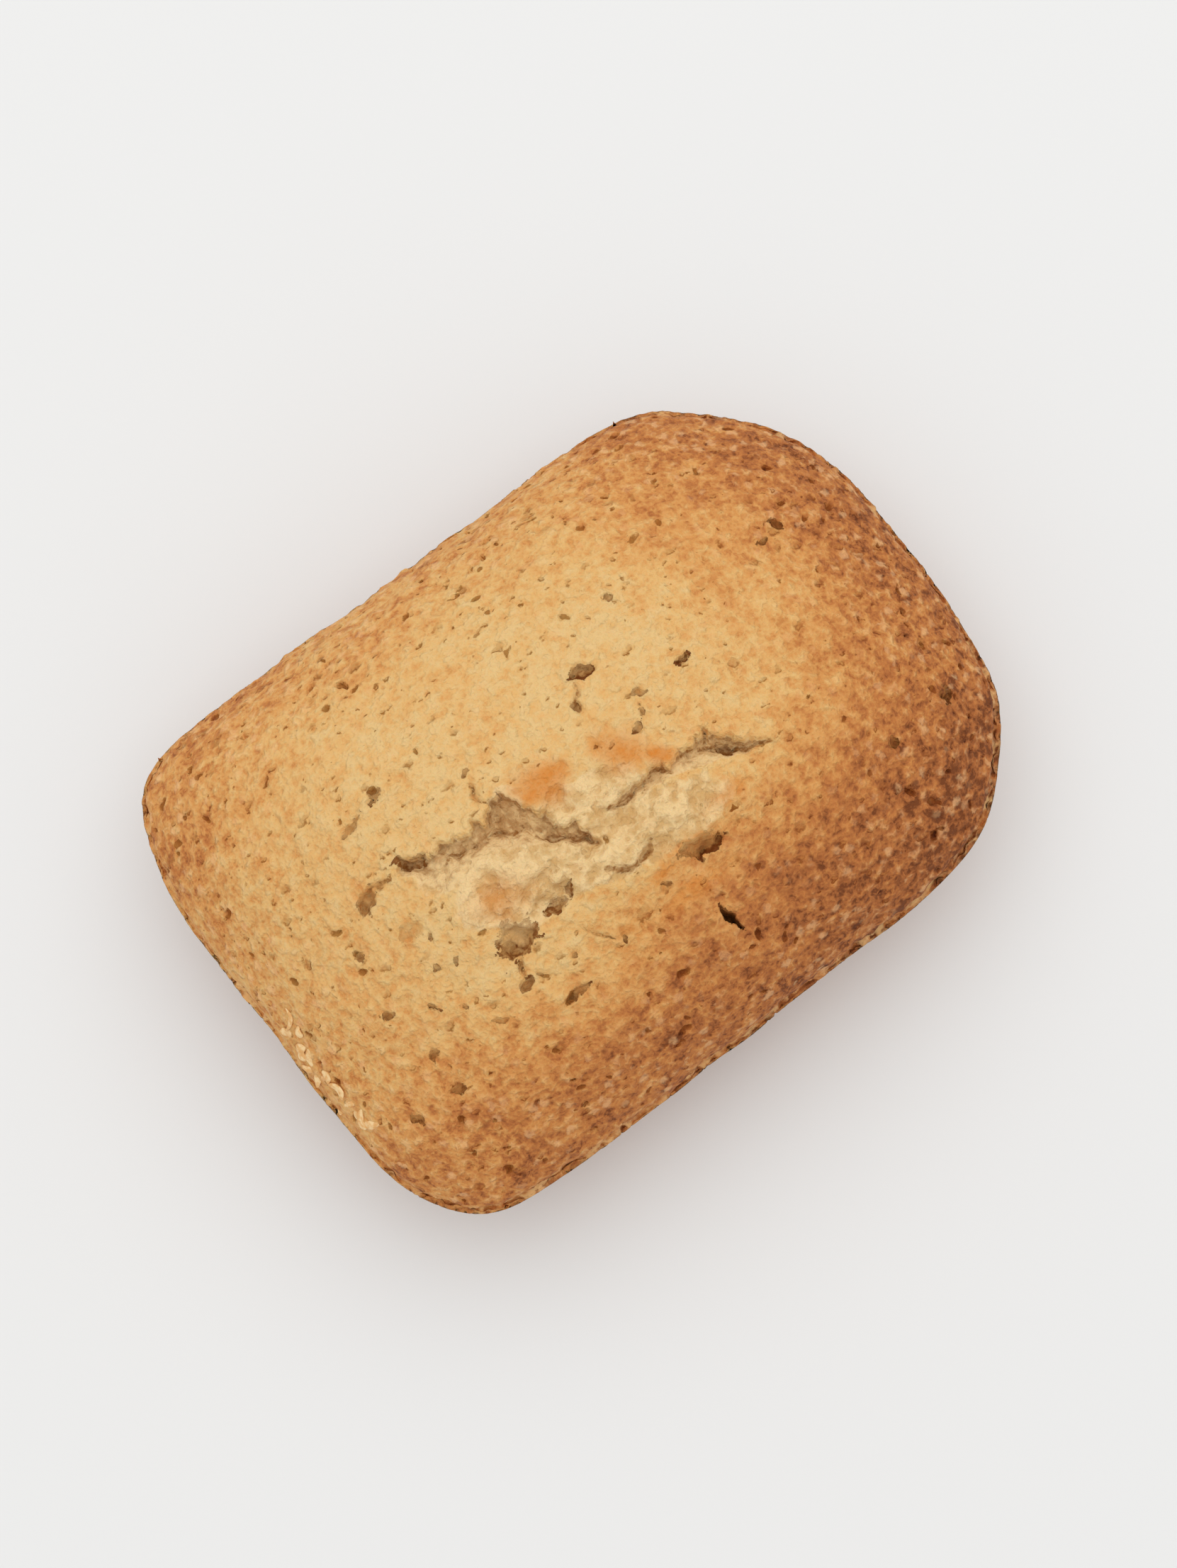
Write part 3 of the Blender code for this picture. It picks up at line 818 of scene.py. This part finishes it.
def paintCake(cake, pores):
    # attributes that the finish reads. Nearness is a half on an edge
    mesh = cake.data
    points = meshPoints(mesh)
    contour = contourAt(points)
    onBump = onBumpShare(points)
    x = points[:, 0]
    y = points[:, 1]
    fields = crackFields(x, y)
    brown, shellBrown = brownShare(points, contour)
    bumpCrust = bumpCrustShare(points)
    # browning, with painted shade on the bump's -y side
    paint(mesh, "brown", bumpCrust * brown + (1.0 - bumpCrust) * shellBrown)
    paint(mesh, "crumb", crumbShare(x, y) * onBump)
    # height of the crumb's lumps, which the finish also paints as shade in their low parts
    paint(mesh, "lump", 0.5 + 0.9 * layered(points, cakeForm["crumbLumps"]))
    paint(mesh, "scorch", scorchShare(points) * onBump)
    paint(mesh, "inside", (0.5 + fields["inside"] / 4) * onBump)
    for name in ("lip", "sunk", "split", "pit"):
        paint(mesh, name, fields[name] * onBump)
    # darkness of the painted shade in the pits
    paint(mesh, "pitDark", fields["pitDark"] / 2)
    overRim = points[:, 2] - cakeForm["rimHeight"] - 0.2
    # where the painted highlight along the rim goes
    paint(mesh, "rim", np.exp(-(overRim / 0.5) ** 2) * ease(contour, 0.93, 0.99))
    # nearness to a modelled pore, for its painted shade and its bump
    paint(mesh, "pore", poreNearness(points, pores)[0])
    paint(mesh, "edge", ease(contour, 0.55, 0.98) * onBump + (1.0 - onBump) * 0.6)


crustLook = {
    # browning and the display colour there
    "crust": (
        (0.00, (226, 190, 130)),
        (0.22, (225, 178, 112)),
        (0.45, (215, 153, 87)),
        (0.65, (194, 124, 66)),
        (0.82, (169, 101, 54)),
        (1.00, (120, 66, 33)),
    ),
    "colours": {
        "crumbPale": (236, 205, 152),
        "crumbShade": (206, 165, 108),
        "troughShade": (182, 138, 88),
        "slope": (230, 196, 142),
        "scorch": (210, 124, 40),
        "hollow": (148, 98, 48),
        "deepHollowShade": (112, 58, 18),
        "split": (148, 94, 38),
        "speckAndHighlight": (243, 195, 142),
        "rimHighlight": (236, 190, 128),
    },
    "poreShade": (0.50, 0.34, 0.15, 1.0),        # the share of each colour channel that the painted shade in a pore leaves
    # all cells are counted per metre
    "mottleCells": 400.0,
    "blobCells": 1000.0,
    "grainCells": 2300.0,
    "bendCells": 1500.0,
    "bendReach": 0.0010,                         # metres, as the other reaches and depths here
    "wrinkleCells": 900.0,
    "lumpCells": 1500.0,
    "blisterCells": 850.0,
    # how much each noise changes the browning, and what the edge of the bump adds to that. Blob and grain
    # also raise the relief, so its low parts are painted darker as shade, and wrinkles are painted shade
    "mottleBrowns": 0.50,
    "blobBrownsAndShade": (0.66, 0.04),
    "grainBrownsAndShade": (0.44, 0.18),
    "wrinkleShade": (0.08, 0.06),
    # cells, the share of them that hold a pore, and the turn of the pattern in radians
    "pores": ((430.0, 0.20, 0.9), (780.0, 0.50, 0.5), (1250.0, 0.44, 1.7)),
    "poreShift": (-0.00005, -0.00012, 0.0),      # towards the lit side of a pore
    "poreStrengths": (0.36, 1.1, 0.85),          # of the painted shade on a floor, on a dark side, and in a modelled pore
    # the values between which each layer of the colour fades in
    "bands": {
        "crease": (0.38, 0.75),
        "lump": (-0.10, 0.75),
        "crumb": (0.25, 0.75),
        "inside": (0.49, 0.56),
        "sunk": (0.30, 1.15),
        "rim": (0.35, 0.80),
        "rimPatch": (0.42, 0.60),
        "patchy": (0.42, 0.60),
        "modelled": (0.44, 0.58),
        "aroundPit": (0.30, 0.50),
        "pit": (0.48, 0.54),
        "split": (0.32, 0.72),
        "underLip": (0.50, 0.53),
        "nearLip": (0.45, 0.95),
    },
    # how much of what lies under it a layer hides
    "covers": {"crumb": 0.85, "slope": 0.92, "rim": 0.65, "pit": 0.90, "split": 0.90},
    "reliefDepth": 0.00050,
    "reliefs": {"mottle": 0.60, "blob": 0.90, "grain": 0.42, "pale": 0.16},
    "reliefHollows": {"pore": 0.12, "pit": 0.25, "crease": 0.10},
    "roughness": (0.66, 0.20),                   # of crust, and what crumb adds
    "specular": 0.12,
    "softLight": {"weight": 0.10, "radius": (1.0, 0.45, 0.2), "scale": 0.0008},
}


def about(value, strength):
    # a noise counted from its middle
    return (value - 0.5) * strength


def poreMasks(finish, bent, grain, edge):
    # painted shade on the floors of small pores in part of the cells, and on the dark side of each
    look = crustLook
    pores = 0.0
    floors = 0.0
    shifted = finish.node("VectorMath", {"operation": "ADD"}, {0: bent, 1: look["poreShift"]})
    for cells, share, turn in look["pores"]:
        hollows = []
        for where in (bent, shifted):
            stretch = {"Vector": where, "Rotation": (0.0, 0.0, turn), "Scale": (0.7, 1.0, 0.9)}
            distance, pick = finish.cells(finish.node("Mapping", None, stretch), cells)
            size = (edge * 0.08 + share - pick) * 0.62 + about(grain, 0.4)
            hollows.append(finish.band(distance - size, 0.08, -0.10) * finish.band(size, 0.0, 0.12))
        floors = finish.maximum(floors, hollows[0])
        pores = finish.maximum(pores, hollows[0] - hollows[1])
    return floors, pores


def crustFinish():
    # pale crumb, golden crust and browned edges, with pores and pale blisters; painted shade lies in the
    # pores, pits, splits, the crack and between crumb lumps, and painted highlights on raised bumps and
    # along the rim
    look = crustLook
    bands = look["bands"]
    covers = look["covers"]
    tones = {name: tone(*colour) for name, colour in look["colours"].items()}
    finish = Finish("bakedCrust")
    place = finish.node("TexCoord", output=3)
    edge = finish.attribute("edge")

    # noises from coarse to fine, and a place bent by noise for everything that has a torn outline
    mottle = finish.noise(place, look["mottleCells"], 3.0)
    blob = finish.noise(place, look["blobCells"], 2.0, 0.15)
    grain = finish.noise(place, look["grainCells"], 2.0)
    sockets = {"Vector": place, "Scale": look["bendCells"], "Detail": 2.0}
    bend = finish.node("TexNoise", None, sockets, output=1)
    sockets = {0: bend, 1: (look["bendReach"],) * 3, 2: place}
    bent = finish.node("VectorMath", {"operation": "MULTIPLY_ADD"}, sockets)

    # painted shade in short wavy wrinkles, where a noise passes its middle
    wave = finish.noise(place, look["wrinkleCells"], 2.0, 0.8) - 0.5
    smooth = 1.0 - finish.attribute("crumb") * 0.7
    ridge = finish.band(finish.maximum(wave, 0.0 - wave), 0.07, 0.0)
    wrinkle = ridge * finish.band(blob, 0.55, 0.40) * smooth

    level = finish.attribute("brown") + about(mottle, look["mottleBrowns"])
    # where blob and grain raise the relief the crust is painted paler, and where they lower it darker, as
    # shade
    level = level - about(blob, look["blobBrownsAndShade"][0] + edge * look["blobBrownsAndShade"][1])
    level = level - about(grain, look["grainBrownsAndShade"][0] + edge * look["grainBrownsAndShade"][1])
    level = level + wrinkle * (look["wrinkleShade"][0] + edge * look["wrinkleShade"][1])
    stops = tuple((position, tone(*colour)) for position, colour in look["crust"])
    colour = finish.node("ValToRGB", {"stops": stops}, {"Fac": level.clamped()})

    # bare crumb, with its lumps, painted darker as shade in their low parts and along the creases between
    # them
    lumpCell, lumpDraw = finish.cells(bent, look["lumpCells"])
    crease = finish.band(lumpCell, *bands["crease"])
    lump = finish.attribute("lump") + about(blob, 1.9) + about(mottle, 0.9) + about(grain, 0.5)
    lump = lump - crease * 0.08 + about(lumpDraw, 0.16)
    paleness = finish.band(lump, *bands["lump"])
    crumbColour = finish.blendColours(paleness, tones["crumbShade"], tones["crumbPale"])
    crumb = finish.attribute("crumb") + about(blob, 0.8)
    bare = finish.band(crumb, *bands["crumb"]) * covers["crumb"]
    colour = finish.blendColours(bare, colour, crumbColour)

    # the slopes of the crack, pale high up, with painted shade deeper down the run and along the creases
    # between lumps
    inside = finish.attribute("inside") + about(grain, 0.08)
    sunk = finish.attribute("sunk") + about(blob, 1.6) + about(grain, 0.8)
    sunk = sunk + crease * 0.20 + about(lumpDraw, 0.3)
    slope = finish.blendColours(finish.band(sunk, *bands["sunk"]), tones["slope"], tones["troughShade"])
    colour = finish.blendColours(finish.band(inside, *bands["inside"]) * covers["slope"], colour, slope)

    # orange scorched spots
    scorch = finish.attribute("scorch") * (0.70 + mottle * 0.5 - about(blob, 0.5) - about(grain, 0.5))
    colour = finish.blendColours(scorch.clamped(), colour, tones["scorch"])

    # small pores with painted shade, pale blisters, raised bumps painted paler as highlight, and a painted
    # highlight along the rim
    floors, pores = poreMasks(finish, bent, grain, edge)
    floorStrength, poreStrength, modelledStrength = look["poreStrengths"]
    distance, pick = finish.cells(bent, look["blisterCells"])
    blister = finish.band(distance, 0.48, 0.20) * finish.band(pick, 0.50, 0.30) * (0.35 + edge * 0.65)
    # beside the pale blisters, the raised bumps are painted paler as highlight
    pale = finish.maximum(blister, finish.band(blob, 0.55, 0.75) * (0.2 + edge * 0.6))
    colour = finish.blendColours(pale * (0.30 + edge * 0.16), colour, tones["speckAndHighlight"])
    colour = finish.blendColours(floors * smooth * floorStrength, colour, look["poreShade"], "MULTIPLY")
    dark = (pores * smooth * poreStrength).clamped()
    colour = finish.blendColours(dark, colour, look["poreShade"], "MULTIPLY")
    # painted highlight along the rim
    rim = finish.band(finish.attribute("rim") + about(grain, 0.9), *bands["rim"])
    rim = rim * finish.band(mottle, *bands["rimPatch"]) * covers["rim"]
    colour = finish.blendColours(rim, colour, tones["rimHighlight"])

    # painted shade in the pores, pits and splits that are modelled, and a painted shadow line under a torn
    # lip
    wobble = about(grain, 0.75) + about(blob, 0.45)
    patchy = finish.band(grain * 0.6 + blob * 0.4, *bands["patchy"])
    modelled = finish.band(finish.attribute("pore") + wobble * 0.7, *bands["modelled"])
    colour = finish.blendColours(modelled * modelledStrength, colour, look["poreShade"], "MULTIPLY")
    # painted shade in the pits: patchy inside, faint around them, and darkest where they are deepest
    pitDark = finish.attribute("pitDark") * 2.0
    around = finish.band(finish.attribute("pit") + wobble, *bands["aroundPit"]) * 0.10
    pit = finish.band(finish.attribute("pit") + wobble, *bands["pit"]) * (0.62 + patchy * 0.50)
    pit = (pit + around) * pitDark
    # painted shade along the splits
    split = finish.band(finish.attribute("split") + wobble, *bands["split"]) * (0.45 + patchy * 0.55)
    nearLip = finish.attribute("lip") + about(mottle, 0.6)
    lipShadow = finish.band(inside, *bands["underLip"]) * finish.band(nearLip, *bands["nearLip"])
    colour = finish.blendColours((pit * covers["pit"]).clamped(), colour, tones["hollow"])
    colour = finish.blendColours(((pit - 0.85) * 1.6).clamped(), colour, tones["deepHollowShade"])
    line = finish.maximum(split * covers["split"], lipShadow * (0.35 + patchy * 0.30))
    colour = finish.blendColours(line.clamped(), colour, tones["split"])
    finish.wire("Base Color", colour)

    raised = look["reliefs"]
    sunken = look["reliefHollows"]
    relief = mottle * raised["mottle"] + blob * raised["blob"] + grain * raised["grain"]
    relief = relief + pale * raised["pale"] - floors * sunken["pore"]
    relief = relief - modelled * sunken["pore"] - pit * sunken["pit"]
    relief = relief - crease * (1.0 - smooth) * sunken["crease"]
    sockets = {"Strength": 1.0, "Distance": look["reliefDepth"], "Height": relief}
    finish.wire("Normal", finish.node("Bump", None, sockets))
    crustRoughness, crumbRoughness = look["roughness"]
    finish.wire("Roughness", crustRoughness + finish.attribute("crumb") * crumbRoughness)
    soft = look["softLight"]
    finish.set(Subsurface_Weight=soft["weight"], Subsurface_Radius=soft["radius"])
    finish.set(Subsurface_Scale=soft["scale"], Specular_IOR_Level=look["specular"])
    return finish.material


print("shaping the cake")
cake = addCake()
pores = sprinklePores(cake.data, np.random.default_rng(poreForm["seed"]))
detailed = roughenCake(cake, pores)
thinCake(cake, detailed)
paintCake(cake, pores)
cake.data.shade_smooth()
cake.data.materials.append(crustFinish())
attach(cake, "root")
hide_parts("madeleine")


# thin curled flakes of batter at the hinge end of the rim

flakeForm = {
    "seed": 7,
    "reachY": (-11.5, -0.5),
    "count": 16,
    "halfLength": (0.45, 0.95),
    "halfWidth": (0.24, 0.38),
    "halfHeight": (0.16, 0.26),
    "curl": (0.5, 1.3),
    "inset": (0.9, 2.3),
    "hingeTurn": (2.2, 4.1),                     # radians, the part of the rim that they lie along
    "lift": 0.06,
    "slope": 1.1,                                # as the side of the bump rises there
    "deepColour": (226, 170, 104),
    "paleColour": (244, 210, 156),
    "grainCells": 1800.0,
}


def flakeFinish():
    finish = Finish("paleFlake")
    place = finish.node("TexCoord", output=3)
    grain = finish.noise(place, flakeForm["grainCells"], 2.0)
    deep = tone(*flakeForm["deepColour"])
    pale = tone(*flakeForm["paleColour"])
    finish.wire("Base Color", finish.blendColours(finish.band(grain, 0.35, 0.65), deep, pale))
    finish.set(Roughness=0.7, Specular_IOR_Level=0.22)
    return finish.material


def addFlakes():
    rng = np.random.default_rng(flakeForm["seed"])
    made = []
    cakePoints = meshPoints(cake.data)
    hingeX, hingeY = rimPoint(np.linspace(*flakeForm["hingeTurn"], 400))
    lowY, highY = flakeForm["reachY"]
    for index in range(flakeForm["count"]):
        bpy.ops.object.select_all(action="DESELECT")
        bpy.ops.mesh.primitive_uv_sphere_add(segments=20, ring_count=10, radius=1.0)
        flake = bpy.context.object
        points = meshPoints(flake.data) * mm
        along = points[:, 0] * rng.uniform(*flakeForm["halfLength"])
        across = points[:, 1] * rng.uniform(*flakeForm["halfWidth"])
        upward = points[:, 2] * rng.uniform(*flakeForm["halfHeight"])
        curl = rng.uniform(*flakeForm["curl"]) * rng.choice((-1.0, 1.0))
        across = across + 0.5 * curl * (along**2 - 0.2) + 0.10 * noise(points * 0.7, 0.5, 90 + index)
        turn = rng.uniform(0.5, 2.7)
        share = (index + rng.uniform(0.2, 0.8)) / flakeForm["count"]
        y = lowY * (1 - share) + highY * share
        x = np.interp(-y, -hingeY, hingeX)
        x = x + cakeForm["hubX"] + rng.uniform(*flakeForm["inset"])

        # it leans on the crust under it
        nearby = np.hypot(cakePoints[:, 0] - x, cakePoints[:, 1] - y) < 0.5
        height = cakePoints[nearby & (cakePoints[:, 2] > cakeForm["rimHeight"] - 0.5), 2]
        middle = np.median(height) if len(height) else cakeForm["rimHeight"] + 0.3
        towardX = along * math.cos(turn) - across * math.sin(turn)
        towardY = along * math.sin(turn) + across * math.cos(turn)
        z = middle + upward + flakeForm["lift"] + flakeForm["slope"] * towardX
        placePoints(flake.data, np.stack([x + towardX, y + towardY, z], axis=1))
        made.append(flake)
    bpy.ops.object.select_all(action="DESELECT")
    for flake in made:
        flake.select_set(True)
    bpy.context.view_layer.objects.active = made[0]
    bpy.ops.object.join()
    flakes = bpy.context.object
    flakes.name = "flakes"
    flakes.data.shade_smooth()
    flakes.data.materials.append(flakeFinish())
    return flakes


print("adding the flakes")
flakes = addFlakes()
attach(flakes, "root")


# floor, light and camera

studio = {
    "viewTurn": 37.45,                           # degrees from the right of the view to the cake's +X
    "cameraPlace": (-12.1, -31.8, 230.0),
    "aim": (0.0, 0.0, 13.0),
    "frameWidth": 94.5,
    "aspect": 2212 / 1661,                       # height for each width of the view
    "sensor": 36.0,
    "keyBearing": 50.0,
    "keyHeight": 72.0,
    "keyDistance": 900.0,
    "keySize": 1500.0,
    "keyPower": 4.6,                             # watts
    "keyColour": (1.0, 0.985, 0.96),
    "airStrength": 0.74,
    "airColour": (1.0, 0.99, 0.975, 1.0),
    "floorSize": 4.0,                            # metres
    "floorColour": (0.805, 0.815, 0.822, 1.0),
}


def addFloor():
    bpy.ops.object.select_all(action="DESELECT")
    bpy.ops.mesh.primitive_plane_add(size=studio["floorSize"], location=(0.0, 0.0, 0.0))
    floor = bpy.context.object
    floor.name = "floor"
    finish = Finish("paleTable")
    finish.set(Base_Color=studio["floorColour"], Roughness=0.75)
    floor.data.materials.append(finish.material)


def addLight():
    world = bpy.data.worlds.new("studioAir")
    bpy.context.scene.world = world
    world.use_nodes = True
    air = world.node_tree.nodes["Background"].inputs
    air["Color"].default_value = studio["airColour"]
    air["Strength"].default_value = studio["airStrength"]
    bearing = math.radians(studio["keyBearing"])
    height = math.radians(studio["keyHeight"])
    level = math.cos(height)
    toward = Vector((math.cos(bearing) * level, math.sin(bearing) * level, math.sin(height)))
    light = bpy.data.lights.new("key", "AREA")
    light.shape = "DISK"
    light.size = studio["keySize"] * mm
    light.energy = studio["keyPower"]
    light.color = studio["keyColour"]
    lamp = bpy.data.objects.new("key", light)
    lamp.location = toward * studio["keyDistance"] * mm
    lamp.rotation_mode = "QUATERNION"
    lamp.rotation_quaternion = (-toward).to_track_quat("-Z", "Y")
    bpy.context.scene.collection.objects.link(lamp)


def addCamera():
    place = Vector(studio["cameraPlace"]) * mm
    aim = Vector(studio["aim"]) * mm
    turn = math.radians(studio["viewTurn"])
    forward = (aim - place).normalized()
    right = forward.cross(Vector((math.sin(turn), math.cos(turn), 0.0))).normalized()
    up = right.cross(forward)
    lens = bpy.data.cameras.new("camera")
    # the sensor lies along the height of the view
    lens.sensor_width = studio["sensor"]
    lens.lens = studio["sensor"] * (aim - place).length / (studio["frameWidth"] * mm * studio["aspect"])
    camera = bpy.data.objects.new("camera", lens)
    turned = Matrix((right, up, -forward)).transposed().to_4x4()
    camera.matrix_world = Matrix.Translation(place) @ turned
    bpy.context.scene.collection.objects.link(camera)
    bpy.context.scene.camera = camera


print("setting up the studio")
addFloor()
addLight()
addCamera()
bpy.context.scene.view_settings.view_transform = "Standard"

print("triangles", sum(len(face.vertices) - 2 for face in cake.data.polygons))
